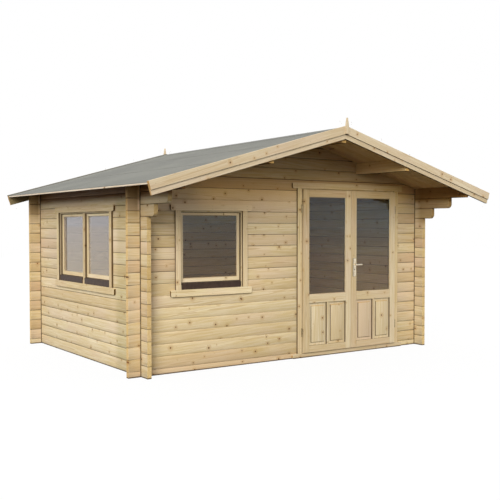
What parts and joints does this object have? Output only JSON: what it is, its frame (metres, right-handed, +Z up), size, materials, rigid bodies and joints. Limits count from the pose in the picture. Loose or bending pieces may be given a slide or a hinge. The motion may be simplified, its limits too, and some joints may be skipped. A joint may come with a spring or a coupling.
{
  "type": "log cabin",
  "caption": "Small pine log cabin with notched log corners, a felted gable roof that runs out as a front canopy, half-glazed double doors and timber windows.",
  "frame": {"origin": "on the ground, under the middle of the roof's length and width", "axes": "+Z up, +X to the right along the front wall, +Y from the front gable to the back"},
  "size_m": [4.494, 3.8596, 2.5669],
  "materials": {
    "pine_wall": "planed, untreated",
    "pine_roof": "planed, untreated",
    "pine_trim": "planed, untreated",
    "pine_floor": "planed, untreated",
    "roof_felt": "mineral felt",
    "clear_glass": "clear",
    "brown_rail": "brown",
    "steel": "satin"
  },
  "bodies": {
    "cabin": {"left_wall": "pine_wall", "right_wall": "pine_wall", "back_wall": "pine_wall", "back_gable": "pine_wall", "front_wall_left": "pine_wall", "front_wall_right": "pine_wall", "front_gable": "pine_wall", "ridge_purlin": "pine_roof", "side_purlins": "pine_roof", "left_roof_deck": "pine_roof", "right_roof_deck": "pine_roof", "front_barge_boards": "pine_trim", "front_barge_cappings": "pine_trim", "back_barge_boards": "pine_trim", "back_barge_cappings": "pine_trim", "left_eaves_fascia": "pine_trim", "right_eaves_fascia": "pine_trim", "front_finial": "pine_trim", "back_finial": "pine_trim", "front_window_frame": "pine_trim", "front_window_sash": "pine_trim", "front_window_trim": "pine_trim", "side_window_frame": "pine_trim", "side_window_sash": "pine_trim", "side_window_trim": "pine_trim", "door_frame": "pine_trim", "door_trim": "pine_trim", "door_threshold": "pine_trim", "floor_deck": "pine_floor", "floor_joists": "pine_floor", "left_roof_felt": "roof_felt", "right_roof_felt": "roof_felt", "front_window_glass": "clear_glass", "side_window_glass": "clear_glass", "front_window_drip_rail": "brown_rail", "side_window_drip_rail": "brown_rail", "door_hinge_pins": "steel"},
    "left_leaf": {"left_door_frame": "pine_trim", "left_door_panels": "pine_trim", "left_door_glass": "clear_glass", "left_door_hinges": "steel"},
    "right_leaf": {"right_door_frame": "pine_trim", "right_door_panels": "pine_trim", "right_door_glass": "clear_glass", "right_door_hinges": "steel", "handle_plates": "steel"},
    "lever": {"lever_handle": "steel"}
  },
  "joints": [
    {"name": "left_door", "type": "hinge", "parent": "cabin", "child": "left_leaf", "pos_m": [0.0615, -1.1128, 1], "axis": [0, 0, -1], "range_deg": [0, 110]},
    {"name": "right_door", "type": "hinge", "parent": "cabin", "child": "right_leaf", "pos_m": [1.4985, -1.1128, 1], "axis": [0, 0, 1], "range_deg": [0, 110]},
    {"name": "lever_turn", "type": "hinge", "parent": "right_leaf", "child": "lever", "pos_m": [0.828, -1.1235, 1.023], "axis": [0, 1, 0], "range_deg": [0, 40], "stiffness_Nm_per_rad": 1.5}
  ]
}
